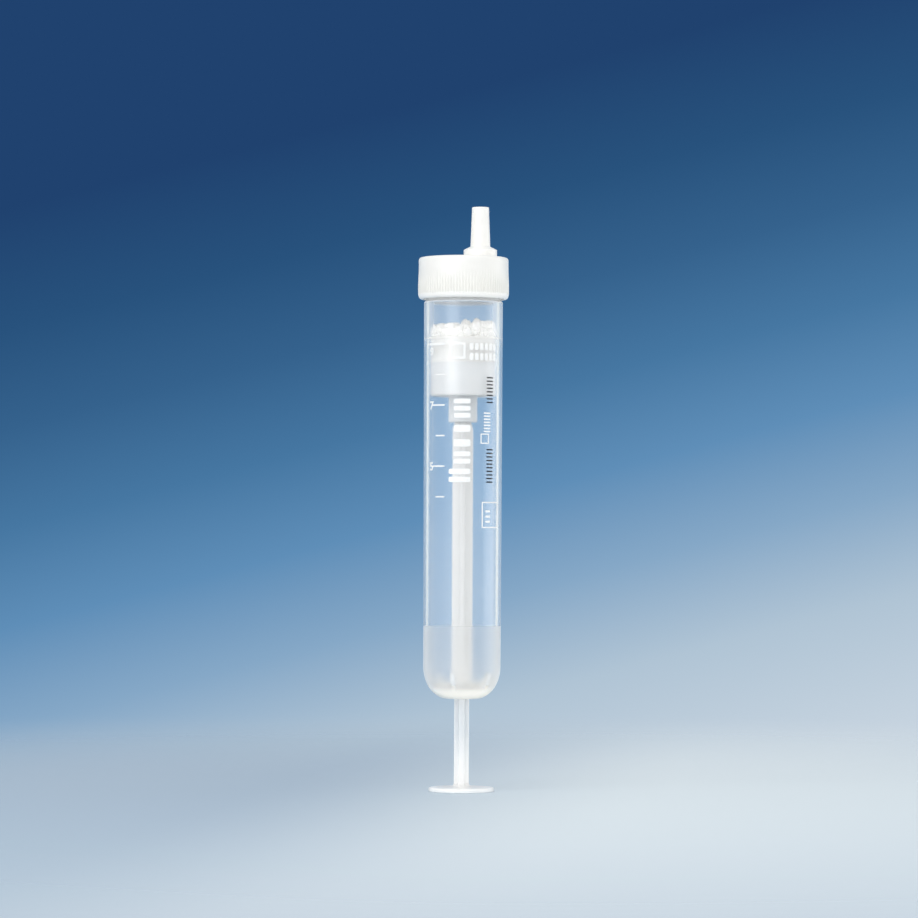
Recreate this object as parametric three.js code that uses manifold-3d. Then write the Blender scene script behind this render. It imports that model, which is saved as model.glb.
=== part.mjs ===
// Syringe-type blood collection tube, standing on its thumb disc.
// Millimetres, +Z up. The tube's axis is the Z axis and the disc's underside is z = 0.
// The Luer cone stands off-centre, towards +X. The print faces -Y.

import * as THREE from 'three';
import { mergeVertices } from 'three/addons/utils/BufferGeometryUtils.js';
import Module from 'manifold-3d';

const wasm = await Module();
wasm.setup();

// ---- driving dimensions -------------------------------------------------------------

const ROUND_SIDES = 48;

const TUBE = {
  bottom: 19.1,
  floorTop: 21.35,
  shoulder: 101.4,
  mouth: 108.95,
  outerRadiusTop: 8.17,
  outerRadiusLow: 8.0,
  boreRadius: 7.0,
  neckRadius: 7.65,
  shoulderRound: 0.5,
  mouthChamfer: 0.25,
  holeRadius: 3.1,
  domeTop: 25.7,
  domeRound: 5.15,
  innerDomeTop: 25.0,
  innerDomeRound: 2.4,
};

const STOP_RIB = {
  count: 6,
  firstAngle: -104,
  thickness: 0.6,
  inner: 5.0,
  low: 22.5,
  high: 24.5,
  intoWall: 0.15,
};

const CAP = {
  bottom: 101.75,
  top: 110.4,
  ceiling: 109.0,
  radius: 9.3,
  boreRadius: 8.3,
  topRound: 0.8,
  bottomRound: { across: 0.85, up: 1.15 },
  seal: { inner: 6.0, outer: 6.75, bottom: 105.6, draft: 0.2, leadIn: { across: 0.35, up: 0.8 } },
};

const KNURL = { count: 90, pointsPerRib: 4, tipRadius: 9.42, bottom: 102.9, top: 107.2 };

const LUER = {
  offset: 3.45,
  root: 110.0,
  flangeRadius: 3.45,
  flangeTop: 112.05,
  footRadius: 2.05,
  foot: 112.75,
  tipRadius: 1.75,
  tip: 120.9,
  tipRound: 0.15,
  boreRadius: 1.05,
  boreSides: 24,
};

const PISTON = {
  top: 93.8,
  headBottom: 88.6,
  skirtBottom: 81.7,
  hubBottom: 76.3,
  lipRadius: 6.95,
  upperLip: { low: 92.75, flatLow: 93.45, edge: 0.1 },
  lowerLip: { low: 87.9, flatLow: 88.425, flatHigh: 88.775, high: 89.3 },
  waistRadius: 6.72,
  skirtRadius: 6.82,
  skirtInner: 5.6,
  skirtEdgeRadius: 6.3,
  skirtEdgeHeight: 0.7,
  hubRadius: 2.95,
  hubChamfer: { across: 0.2, up: 0.3 },
  socketRadius: 1.55,
  socketTop: 80.9,
};

const ROD = {
  wideSpan: 4.25,
  wideBlade: 1.05,
  narrowSpan: 3.1,
  narrowBlade: 1.25,
  neckSpan: 3.4,
  stepLow: 22.4,
  stepHigh: 23.8,
  bladeOverlap: 0.4,
  neckLow: 74.7,
  pegRadius: 1.45,
  pegSides: 24,
  pegRoot: 75.1,
  pegTop: 80.8,
  gap: 0.02,
};

const DISC = { radius: 6.8, rim: 0.85, middle: 1.05, middleRadius: 2.6, round: 0.4 };

const BEADS = {
  count: 52,
  smallest: 0.85,
  largest: 1.0,
  gap: 0.03,
  wallGap: 0.09,
  dent: 0.05,
  tries: 1500,
  huddle: 0.3,
  firstOnHeap: 44,
  heapSpread: 160,
};

// ---- shared helpers -----------------------------------------------------------------

// How far a body that is cut away reaches past what it cuts.
const CUT_PAST = 1;

const degrees = (angle) => THREE.MathUtils.degToRad(angle);
const point = (r, z) => new THREE.Vector2(r, z);

// Points of a quarter ellipse about (r, z), from the angle `from` to `to`, in degrees.
function arc(r, z, across, up, from, to, steps) {
  return Array.from({ length: steps + 1 }, (_, i) => {
    const angle = degrees(from + ((to - from) * i) / steps);
    return point(r + across * Math.cos(angle), z + up * Math.sin(angle));
  });
}

function signedVolume(positions, triangles) {
  const [a, b, c] = [new THREE.Vector3(), new THREE.Vector3(), new THREE.Vector3()];
  let volume = 0;
  for (let i = 0; i < triangles.length; i += 3) {
    a.fromArray(positions, 3 * triangles[i]);
    b.fromArray(positions, 3 * triangles[i + 1]);
    c.fromArray(positions, 3 * triangles[i + 2]);
    volume += a.dot(b.cross(c)) / 6;
  }
  return volume;
}

// A closed three.js geometry as a manifold-3d solid, with its faces pointing out.
function solid(geometry) {
  geometry.deleteAttribute('normal');
  geometry.deleteAttribute('uv');
  const merged = mergeVertices(geometry, 1e-5);
  const index = merged.index.array;
  const triangles = [];
  for (let i = 0; i < index.length; i += 3) {
    const [a, b, c] = [index[i], index[i + 1], index[i + 2]];
    if (a !== b && b !== c && c !== a) triangles.push(a, b, c);
  }
  const positions = merged.attributes.position.array;
  if (signedVolume(positions, triangles) < 0) triangles.reverse();
  return new wasm.Manifold(new wasm.Mesh({
    numProp: 3,
    vertProperties: new Float32Array(positions),
    triVerts: new Uint32Array(triangles),
  }));
}

// A profile of (radius, z) points turned about the Z axis.
function turned(profile, sides = ROUND_SIDES) {
  return solid(new THREE.LatheGeometry(profile, sides).rotateX(Math.PI / 2));
}

// A ring-shaped profile, which closes on itself, turned about the Z axis.
function turnedRing(profile, sides = ROUND_SIDES) {
  return turned([...profile, profile[0].clone()], sides);
}

// An outline in the XY plane pulled up from z = low to z = high.
function pulledUp(outline, low, high) {
  const geometry = new THREE.ExtrudeGeometry(new THREE.Shape(outline), {
    depth: high - low,
    bevelEnabled: false,
  });
  return solid(geometry.translate(0, 0, low));
}

// A round bar along Z, with its axis at x = offset.
function bar(radius, low, high, offset = 0, sides = ROUND_SIDES) {
  const geometry = new THREE.CylinderGeometry(radius, radius, high - low, sides);
  return solid(geometry.rotateX(Math.PI / 2).translate(offset, 0, (low + high) / 2));
}

function named(name, shape, material) {
  const { numProp, vertProperties, triVerts } = shape.getMesh();
  const positions = new Float32Array((vertProperties.length / numProp) * 3);
  for (let i = 0; i < positions.length / 3; i += 1) {
    positions.set(vertProperties.subarray(i * numProp, i * numProp + 3), 3 * i);
  }
  const geometry = new THREE.BufferGeometry();
  geometry.setAttribute('position', new THREE.BufferAttribute(positions, 3));
  geometry.setIndex(new THREE.BufferAttribute(new Uint32Array(triVerts), 1));
  geometry.computeVertexNormals();
  const mesh = new THREE.Mesh(geometry, material);
  mesh.name = name;
  return mesh;
}

// ---- materials ----------------------------------------------------------------------

const clearPlastic = new THREE.MeshStandardMaterial({
  color: 0xd3e0ec, roughness: 0.12, metalness: 0, transparent: true, opacity: 0.35,
});
const whitePlastic = new THREE.MeshStandardMaterial({
  color: 0xf4f5f4, roughness: 0.38, metalness: 0,
});
const milkyPlastic = new THREE.MeshStandardMaterial({
  color: 0xe4eaed, roughness: 0.42, metalness: 0,
});
const rodPlastic = new THREE.MeshStandardMaterial({
  color: 0xe9eef1, roughness: 0.4, metalness: 0,
});
const beadPlastic = new THREE.MeshStandardMaterial({
  color: 0xf6f6f2, roughness: 0.55, metalness: 0,
});

// ---- tube ---------------------------------------------------------------------------

function tube() {
  const t = TUBE;
  const domeCentre = t.outerRadiusLow - t.domeRound;
  const domeDepth = t.domeTop - t.bottom;
  const holeEdge = THREE.MathUtils.radToDeg(Math.acos((t.holeRadius - domeCentre) / t.domeRound));
  const innerCentre = t.boreRadius - t.innerDomeRound;
  const shoulderCentre = t.outerRadiusTop - t.shoulderRound;
  const walls = turnedRing([
    ...arc(domeCentre, t.domeTop, t.domeRound, domeDepth, -holeEdge, 0, 9),
    ...arc(shoulderCentre, t.shoulder - t.shoulderRound, t.shoulderRound, t.shoulderRound, 0, 90, 4),
    point(t.neckRadius, t.shoulder),
    point(t.neckRadius, t.mouth - t.mouthChamfer),
    point(t.neckRadius - t.mouthChamfer, t.mouth),
    point(t.boreRadius, t.mouth),
    ...arc(innerCentre, t.innerDomeTop, t.innerDomeRound, t.innerDomeTop - t.floorTop, 0, -90, 6),
    point(t.holeRadius, t.floorTop),
  ]);
  return stopRibs().reduce((whole, rib) => whole.add(rib), walls);
}

// Small gussets in the corner between floor and wall, on which the piston's skirt lands. The
// outer edge of each is the inner dome's curve, pushed a little way into the wall.
function stopRibs() {
  const t = TUBE;
  const r = STOP_RIB;
  const across = t.innerDomeRound + r.intoWall;
  const up = t.innerDomeTop - t.floorTop + r.intoWall;
  const end = -THREE.MathUtils.radToDeg(Math.asin((t.innerDomeTop - r.high) / up));
  const outline = new THREE.Shape([
    point(r.inner, r.low),
    point(r.inner, t.floorTop - r.intoWall),
    ...arc(t.boreRadius - t.innerDomeRound, t.innerDomeTop, across, up, -78, end, 5),
    point(t.boreRadius - r.intoWall, r.high),
  ]);
  return Array.from({ length: r.count }, (_, i) => {
    const geometry = new THREE.ExtrudeGeometry(outline, { depth: r.thickness, bevelEnabled: false });
    geometry.translate(0, 0, -r.thickness / 2).rotateX(Math.PI / 2);
    return solid(geometry.rotateZ(degrees(r.firstAngle + (360 * i) / r.count)));
  });
}

// ---- screw cap with its Luer cone ----------------------------------------------------

function screwCap() {
  const c = CAP;
  const s = c.seal;
  const low = c.bottomRound;
  const skirt = turned([
    point(0, c.ceiling),
    point(s.inner, c.ceiling),
    point(s.inner + s.draft, s.bottom),
    point(s.outer - s.leadIn.across, s.bottom),
    point(s.outer, s.bottom + s.leadIn.up),
    point(s.outer, c.ceiling),
    point(c.boreRadius, c.ceiling),
    point(c.boreRadius, c.bottom),
    ...arc(c.radius - low.across, c.bottom + low.up, low.across, low.up, -90, 0, 5),
    ...arc(c.radius - c.topRound, c.top - c.topRound, c.topRound, c.topRound, 0, 90, 5),
    point(0, c.top),
  ]);
  const hollow = bar(c.boreRadius, KNURL.bottom - CUT_PAST, KNURL.top + CUT_PAST);
  const grip = pulledUp(knurlOutline(), KNURL.bottom, KNURL.top).subtract(hollow);
  return skirt.add(grip).add(luerCone()).subtract(luerBore());
}

// A round outline with fine rounded ribs: the radius swings once per rib.
function knurlOutline() {
  const samples = KNURL.pointsPerRib * KNURL.count;
  const rise = KNURL.tipRadius - CAP.radius;
  return Array.from({ length: samples }, (_, i) => {
    const angle = (2 * Math.PI * i) / samples;
    const radius = CAP.radius + rise * Math.abs(Math.cos((KNURL.count * angle) / 2));
    return point(radius * Math.cos(angle), radius * Math.sin(angle));
  });
}

function luerCone() {
  const n = LUER;
  const cone = new THREE.LatheGeometry([
    point(0, n.root),
    point(n.flangeRadius, n.root),
    point(n.flangeRadius, n.flangeTop),
    point(n.footRadius, n.foot),
    ...arc(n.tipRadius - n.tipRound, n.tip - n.tipRound, n.tipRound, n.tipRound, 0, 90, 2),
    point(0, n.tip),
  ], ROUND_SIDES);
  return solid(cone.rotateX(Math.PI / 2).translate(n.offset, 0, 0));
}

function luerBore() {
  const n = LUER;
  return bar(n.boreRadius, CAP.ceiling - CUT_PAST, n.tip + CUT_PAST, n.offset, n.boreSides);
}

// ---- piston -------------------------------------------------------------------------

function piston() {
  const p = PISTON;
  const [upper, lower] = [p.upperLip, p.lowerLip];
  return turned([
    point(0, p.socketTop),
    point(p.socketRadius, p.socketTop),
    point(p.socketRadius, p.hubBottom),
    point(p.hubRadius - p.hubChamfer.across, p.hubBottom),
    point(p.hubRadius, p.hubBottom + p.hubChamfer.up),
    point(p.hubRadius, p.headBottom),
    point(p.skirtInner, p.headBottom),
    point(p.skirtInner, p.skirtBottom),
    point(p.skirtEdgeRadius, p.skirtBottom),
    point(p.skirtRadius, p.skirtBottom + p.skirtEdgeHeight),
    point(p.skirtRadius, lower.low),
    point(p.lipRadius, lower.flatLow),
    point(p.lipRadius, lower.flatHigh),
    point(p.waistRadius, lower.high),
    point(p.waistRadius, upper.low),
    point(p.lipRadius, upper.flatLow),
    point(p.lipRadius, p.top - upper.edge),
    point(p.lipRadius - upper.edge, p.top),
    point(0, p.top),
  ]);
}

// ---- plunger rod with its thumb disc ---------------------------------------------------

// One blade of the cross: half-widths along its height, `thickness` deep, turned by `angle`.
function blade(steps, thickness, angle) {
  const right = steps.map(([z, span]) => point(span / 2, z));
  const left = steps.map(([z, span]) => point(-span / 2, z)).reverse();
  const geometry = new THREE.ExtrudeGeometry(new THREE.Shape([...right, ...left]), {
    depth: thickness,
    bevelEnabled: false,
  });
  geometry.translate(0, 0, -thickness / 2).rotateX(Math.PI / 2);
  return solid(geometry.rotateZ(degrees(angle)));
}

function plungerRod() {
  const r = ROD;
  const d = DISC;
  const rodTop = PISTON.hubBottom - r.gap;
  const wide = [
    [r.stepLow, r.narrowSpan],
    [r.stepHigh, r.wideSpan],
    [r.neckLow, r.wideSpan],
    [rodTop, r.neckSpan],
  ];
  const narrow = [
    [d.rim / 2, r.narrowSpan],
    [r.stepLow + r.bladeOverlap, r.narrowSpan],
  ];
  const disc = turned([
    point(0, 0),
    ...arc(d.radius - d.round, d.round, d.round, d.round, -90, 0, 3),
    ...arc(d.radius - d.round, d.rim - d.round, d.round, d.round, 0, 90, 3),
    point(d.middleRadius, d.middle),
    point(0, d.middle),
  ]);
  const blades = [0, 90].flatMap((angle) => [
    blade(wide, r.wideBlade, angle),
    blade(narrow, r.narrowBlade, angle),
  ]);
  const peg = bar(r.pegRadius, r.pegRoot, r.pegTop, 0, r.pegSides);
  return blades.reduce((whole, part) => whole.add(part), disc.add(peg));
}

// ---- clot-activator beads --------------------------------------------------------------

// A repeatable series of numbers from 0 to 1 (a linear congruential generator).
function* series(seed) {
  let state = seed;
  while (true) {
    state = (1664525 * state + 1013904223) % 4294967296;
    yield state / 4294967296;
  }
}

// Drops beads one by one: each takes, of many random places, the one where it comes to lie
// lowest and closest to the wall or to another bead. The last ones fall on the +X side.
function heapOfBeads() {
  const random = series(7);
  const next = () => random.next().value;
  const heap = [];
  for (let n = 0; n < BEADS.count; n += 1) {
    const radius = THREE.MathUtils.lerp(BEADS.smallest, BEADS.largest, next());
    const spread = n < BEADS.firstOnHeap ? 360 : BEADS.heapSpread;
    const places = Array.from({ length: BEADS.tries }, () => {
      return restingPlace(heap, radius, Math.sqrt(next()), degrees(spread * (next() - 0.5)));
    });
    heap.push(places.reduce((best, place) => (place.cost < best.cost ? place : best)));
  }
  return heap;
}

// Where a bead dropped at a share `out` of the bore's radius and at the angle `turn` lies.
function restingPlace(heap, radius, out, turn) {
  const reach = TUBE.boreRadius - radius - BEADS.wallGap;
  const [x, y] = [out * reach * Math.cos(turn), out * reach * Math.sin(turn)];
  let z = PISTON.top + radius + BEADS.gap;
  let room = reach * (1 - out);
  heap.forEach((other) => {
    const apart = Math.hypot(x - other.x, y - other.y);
    const touching = radius + other.radius + BEADS.gap;
    room = Math.min(room, Math.abs(apart - touching));
    if (apart < touching) z = Math.max(z, other.z + Math.sqrt(touching ** 2 - apart ** 2));
  });
  return { x, y, z, radius, cost: z + BEADS.huddle * room };
}

// A rounded pellet that stays inside its bounding sphere: a ball dented by slow waves.
function bead({ x, y, z, radius }, number) {
  const geometry = new THREE.IcosahedronGeometry(1, 1);
  const position = geometry.attributes.position;
  const corner = new THREE.Vector3();
  for (let i = 0; i < position.count; i += 1) {
    corner.fromBufferAttribute(position, i);
    const wave = Math.sin(3 * corner.x + number) * Math.sin(2.5 * corner.y + 2 * number)
      * Math.cos(2 * corner.z - number);
    corner.multiplyScalar(radius * (1 - BEADS.dent + BEADS.dent * wave));
    position.setXYZ(i, corner.x, corner.y, corner.z);
  }
  return solid(geometry.rotateX(number).rotateZ(2 * number).translate(x, y, z));
}

// ---- assembly -----------------------------------------------------------------------

const plunger = new THREE.Group();
plunger.add(named('plunger_rod', plungerRod(), rodPlastic));
plunger.add(named('piston', piston(), milkyPlastic));
heapOfBeads().forEach((place, i) => {
  const name = `clot_bead_${String(i + 1).padStart(2, '0')}`;
  plunger.add(named(name, bead(place, i + 1), beadPlastic));
});

const collectionTube = new THREE.Group();
collectionTube.add(named('tube', tube(), clearPlastic));
collectionTube.add(named('screw_cap', screwCap(), whitePlastic));
collectionTube.add(plunger);

export default collectionTube;
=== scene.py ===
# %% [markdown]
# # A syringe-type blood collection tube
# The tube stands on its thumb disc with the Luer cone up. Blood is drawn by pulling the
# plunger down, and white clot-activator beads lie on the piston. The construction model
# gives every place and size, and this script makes the fine surfaces and the finishes.
# All lengths are in metres, so the sizes below are written in millimetres times MM.

# %% Load the frame
import math

import bpy
import numpy as np
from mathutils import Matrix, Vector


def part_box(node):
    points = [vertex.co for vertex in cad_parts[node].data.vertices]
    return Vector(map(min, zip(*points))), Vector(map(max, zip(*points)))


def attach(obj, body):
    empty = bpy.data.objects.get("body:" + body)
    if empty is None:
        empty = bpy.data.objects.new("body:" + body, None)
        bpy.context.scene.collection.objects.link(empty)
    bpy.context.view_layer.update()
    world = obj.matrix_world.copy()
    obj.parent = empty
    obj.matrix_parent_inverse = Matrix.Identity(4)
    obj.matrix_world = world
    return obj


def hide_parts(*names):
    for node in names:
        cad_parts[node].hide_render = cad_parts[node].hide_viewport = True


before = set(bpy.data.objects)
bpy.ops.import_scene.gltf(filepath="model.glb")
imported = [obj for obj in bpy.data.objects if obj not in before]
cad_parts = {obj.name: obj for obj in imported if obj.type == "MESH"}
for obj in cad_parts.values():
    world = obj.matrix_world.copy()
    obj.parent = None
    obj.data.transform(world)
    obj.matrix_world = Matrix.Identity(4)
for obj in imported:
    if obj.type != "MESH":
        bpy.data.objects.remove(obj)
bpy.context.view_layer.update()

MM = 0.001
TURN = 2 * np.pi

# %% [markdown]
# ## Places that come from the construction model
# The fine surfaces start from the boxes of the construction nodes, so nothing has to be
# fitted afterwards.

# %% Heights and radii
tube_low, tube_high = (np.array(corner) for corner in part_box("tube"))
cap_low, cap_high = (np.array(corner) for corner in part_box("screw_cap"))
piston_low, piston_high = (np.array(corner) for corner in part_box("piston"))
rod_high = np.array(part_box("plunger_rod")[1])

tube_bottom, tube_mouth = tube_low[2], tube_high[2]
tube_radius_top = tube_high[0]
cap_bottom, luer_tip = cap_low[2], cap_high[2]
knurl_radius = cap_high[0]
hub_bottom, piston_top = piston_low[2], piston_high[2]
lip_radius = piston_high[0]
disc_radius, peg_top = rod_high[0], rod_high[2]
print(f"tube {tube_bottom / MM:.1f} to {tube_mouth / MM:.1f} mm, cone tip {luer_tip / MM:.1f} mm")

# %% [markdown]
# ## Skins over rings of points
# Every moulding is a stack of rings: a profile carried round an axis, with a radius that
# may change with the angle, for ribs and threads. Numpy works out all the rings at once,
# and the faces follow from the numbering of the points alone. The other way would be
# Blender's Screw modifier, but it can't hold a knurl or an off-centre cone.

# %% Faces between rings
def ring_faces(rows, columns, closed):
    """Quads between neighbouring rings. Quad (i, j) joins the points (i, j), (i, j+1),
    (i+1, j+1) and (i+1, j). Columns wrap round, and so do rows where closed is true."""
    here = np.arange(rows if closed else rows - 1)[:, None] * columns
    above = (here + columns) % (rows * columns)
    j = np.arange(columns)[None, :]
    beside = (j + 1) % columns
    quads = np.stack([here + j, here + beside, above + beside, above + j], axis=-1)
    return quads.reshape(-1, 4)


def pole_faces(rows, columns):
    """Triangles that close the first ring to one point under it, and the last ring to
    one point over it. The two poles are numbered after all the rings' points."""
    j = np.arange(columns)
    beside = (j + 1) % columns
    last_ring = (rows - 1) * columns
    under = np.stack([beside, j, np.full(columns, rows * columns)], axis=1)
    over = np.stack([j, beside, np.full(columns, columns + 1)], axis=1) + last_ring
    return np.concatenate([under, over])


# %% From arrays to a mesh piece
def placed(name, data):
    """A new object in the scene."""
    made = bpy.data.objects.new(name, data)
    bpy.context.scene.collection.objects.link(made)
    return made


def piece_from(name, points, faces, smooth_up_to=38):
    """Edges that bend by more than smooth_up_to degrees stay sharp."""
    mesh = bpy.data.meshes.new(name)
    mesh.from_pydata(points.tolist(), [], faces)
    mesh.shade_smooth()
    mesh.set_sharp_from_angle(angle=math.radians(smooth_up_to))
    print(f"{name}: {len(points)} points, {len(faces)} faces")
    return placed(name, mesh)


def with_poles(rings):
    """The rings' points, and the middles of the first and last ring as two poles."""
    return np.concatenate([rings.reshape(-1, 3), rings[:1].mean(axis=1), rings[-1:].mean(axis=1)])


def poled_faces(rows, columns, copies=1):
    """The faces of equal skins with poles, whose points follow each other in one list."""
    first = np.arange(copies)[:, None, None] * (rows * columns + 2)
    quads = (ring_faces(rows, columns, False) + first).reshape(-1, 4)
    triangles = (pole_faces(rows, columns) + first).reshape(-1, 3)
    return quads.tolist() + triangles.tolist()


def ringed_piece(name, rings, closed):
    """A closed skin over rings, an array of rows x columns x 3. Where the rows don't close
    on themselves, it ends in two poles."""
    rows, columns = rings.shape[:2]
    if closed:
        faces = ring_faces(rows, columns, closed).tolist()
        return piece_from(name, rings.reshape(-1, 3), faces)
    return piece_from(name, with_poles(rings), poled_faces(rows, columns))


# %% Rings from a profile
def angles(count):
    """Evenly spaced angles over one turn."""
    return np.linspace(0, TURN, count, endpoint=False)


def rings_of(radius, height, columns, centre=0.0):
    """Row i, column j: x = centre_i + r_ij cos(a_j), y = r_ij sin(a_j), z = height_ij.
    Each input has one value a row, or one for each point."""
    angle = angles(columns)
    radius, height, centre = (
        np.broadcast_to(np.asarray(v, float).reshape(-1, 1) if np.ndim(v) < 2 else v,
                        (len(radius), columns))
        for v in (radius, height, centre)
    )
    x = centre + radius * np.cos(angle)
    y = radius * np.sin(angle)
    return np.stack([x, y, height], axis=-1)


# %% [markdown]
# ## Profiles with moulded corners
# No moulded edge is perfectly sharp. Each profile is a short list of corners, and each
# corner says how much of it is rounded away. The rounding is a parabola from a point
# before the corner to a point after it, which looks like an arc and needs no angles.

# %% Softened corners
def soften(corners, closed, steps=7):
    """corners is a list of (r, z, round). With A and B the points at the distance round
    before and after a corner C, its curve is (1-t)^2 A + 2t(1-t) C + t^2 B for t from 0
    to 1. An open profile keeps its first and last point as they are."""
    corners = np.array(corners, float)
    spot, cut = corners[:, :2], corners[:, 2:]
    before = np.roll(spot, 1, axis=0) - spot
    after = np.roll(spot, -1, axis=0) - spot
    start = spot + cut * before / np.linalg.norm(before, axis=1, keepdims=True)
    stop = spot + cut * after / np.linalg.norm(after, axis=1, keepdims=True)
    t = np.linspace(0, 1, steps)[None, :, None]
    curves = (1 - t) ** 2 * start[:, None] + 2 * t * (1 - t) * spot[:, None] + t**2 * stop[:, None]
    if closed:
        return curves.reshape(-1, 2)
    inner = curves[1:-1].reshape(-1, 2)
    return np.concatenate([spot[:1], inner, spot[-1:]])


def bend(centre, across, up, start, stop, steps):
    """Part of an ellipse in the profile plane: r = centre_r + across cos(a) and
    z = centre_z + up sin(a), for a from start to stop in degrees."""
    a = np.radians(np.linspace(start, stop, steps))
    return np.stack([centre[0] + across * np.cos(a), centre[1] + up * np.sin(a)], axis=1)


def filled(profile, longest, closed):
    """The profile, with evenly spaced points where its own are further apart."""
    path = np.concatenate([profile, profile[:1]]) if closed else profile
    along = np.concatenate([[0], np.cumsum(np.linalg.norm(np.diff(path, axis=0), axis=1))])
    spaced = np.arange(0, along[-1], longest)
    apart = np.abs(spaced[:, None] - along[None, :]).min(axis=1)
    stops = np.sort(np.concatenate([along, spaced[apart > 0.3 * longest]]))
    if closed:
        stops = stops[:-1]
    return np.stack([np.interp(stops, along, path[:, k]) for k in (0, 1)], axis=1)


def smooth_step(value, low, high):
    """0 below low, 1 above high, and 3s^2 - 2s^3 between, with s the share of the way."""
    s = np.clip((value - low) / (high - low), 0, 1)
    return s * s * (3 - 2 * s)


def hump(value, low, full, fading, high):
    """1 from full to fading and 0 outside low to high, with smooth steps between."""
    return smooth_step(value, low, full) * (1 - smooth_step(value, fading, high))


def signed_power(value, power):
    """The value's size to a power, with its sign."""
    return np.sign(value) * np.abs(value) ** power


# %% [markdown]
# ## The tube
# One clear moulding: a straight body with a little draft, a round base with a hole for
# the plunger, six small stop ribs inside the base, and a threaded neck under the cap.
# Outside and inside are one closed skin, because clear plastic only bends light rightly
# where the ray enters and leaves a real wall.

# %% Sizes of the tube
BORE_RADIUS = 7.0 * MM
NECK_RADIUS = 7.65 * MM
SHOULDER = 101.4 * MM
HOLE_RADIUS = 3.1 * MM
FLOOR_TOP = 21.35 * MM
DOME_TOP = 25.7 * MM
DOME_ROUND = 5.15 * MM
INNER_DOME_TOP = 25.0 * MM
INNER_DOME_ROUND = 2.4 * MM
DRAFT = 0.17 * MM
tube_radius_low = tube_radius_top - DRAFT
TUBE_COLUMNS = 288
NECK_ROWS = 44


def wall_radius(height):
    """Outer radius of the tube's straight wall: it grows evenly from the dome up."""
    share = (height - DOME_TOP) / (SHOULDER - DOME_TOP)
    return tube_radius_low + DRAFT * np.clip(share, 0, 1)


# %% The tube's profile
def tube_profile():
    """From the hole's lower edge up the outside, over the mouth and down the bore."""
    dome_centre = (tube_radius_low - DOME_ROUND, DOME_TOP)
    hole_edge = -math.degrees(math.acos((HOLE_RADIUS + 0.15 * MM - dome_centre[0]) / DOME_ROUND))
    dome = bend(dome_centre, DOME_ROUND, DOME_TOP - tube_bottom, hole_edge, 0, 22)
    inner_centre = (BORE_RADIUS - INNER_DOME_ROUND, INNER_DOME_TOP)
    inner = bend(inner_centre, INNER_DOME_ROUND, INNER_DOME_TOP - FLOOR_TOP, 0, -90, 22)
    upper = soften([
        (*dome[-1], 0), (tube_radius_top, SHOULDER, 0.55 * MM),
        (NECK_RADIUS, SHOULDER, 0.12 * MM), (NECK_RADIUS, tube_mouth, 0.25 * MM),
        (BORE_RADIUS, tube_mouth, 0.15 * MM), (*inner[0], 0),
    ], closed=False)
    hole = soften([
        (*inner[-1], 0), (HOLE_RADIUS, FLOOR_TOP, 0.2 * MM),
        (HOLE_RADIUS, tube_bottom, 0.12 * MM), (*dome[0], 0),
    ], closed=False)
    return filled(np.concatenate([dome, upper[1:], inner[1:], hole[1:-1]]), 1.1 * MM, closed=True)


# %% [markdown]
# The thread on the neck and the ribs in the base are waves on that profile. The thread's
# wave runs along height minus pitch times angle, which is what makes a ridge a helix.

# %% Thread and stop ribs as waves
THREAD = {"pitch": 2.5 * MM, "depth": 0.36 * MM, "low": 102.6 * MM, "high": 108.2 * MM}
RIB = {"count": 6, "first": -104, "half_width": 2.8, "edge": 2.6,
       "height": 0.9 * MM, "top": 24.6 * MM}


def thread_wave(radius, height, angle):
    """Depth of the thread at a point: a crest where (height / pitch - angle / turn) is
    whole, faded out at both ends of the threaded stretch."""
    phase = (height - THREAD["low"]) / THREAD["pitch"] - angle / TURN
    crest = smooth_step(np.cos(TURN * phase), 0.25, 0.8)
    low, high = THREAD["low"], THREAD["high"]
    ends = hump(height, low, low + 0.5 * MM, high - 0.5 * MM, high)
    outside = radius > NECK_RADIUS - 0.05 * MM
    return THREAD["depth"] * crest * ends * outside * (radius < NECK_RADIUS + 0.05 * MM)


def rib_crest(angle):
    """1 over each rib's width and 0 between the ribs, with soft sides."""
    turn = 360 / RIB["count"]
    off = np.abs((np.degrees(angle) - RIB["first"] + turn / 2) % turn - turn / 2)
    inner, outer = (RIB["half_width"] + side * RIB["edge"] / 2 for side in (-1, 1))
    return 1 - smooth_step(off, inner, outer)


def rib_wave(radius, height, angle):
    """Height of the stop ribs on the inner base: the crest times an arch from the floor
    to the wall."""
    share = np.clip((height - FLOOR_TOP) / (RIB["top"] - FLOOR_TOP), 0, 1)
    arch = np.sin(np.pi * share**0.75) ** 0.7
    inside = (radius <= BORE_RADIUS + 1e-6) & (radius > HOLE_RADIUS + 1 * MM)
    return RIB["height"] * rib_crest(angle) * arch * inside * (height > FLOOR_TOP)


# %% The tube's skin
def note_on(piece, name, values):
    """Keeps one number for each point of a piece, for its finish to read."""
    note = piece.data.attributes.new(name, "FLOAT", "POINT")
    note.data.foreach_set("value", values.astype(np.float32).ravel())


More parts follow.
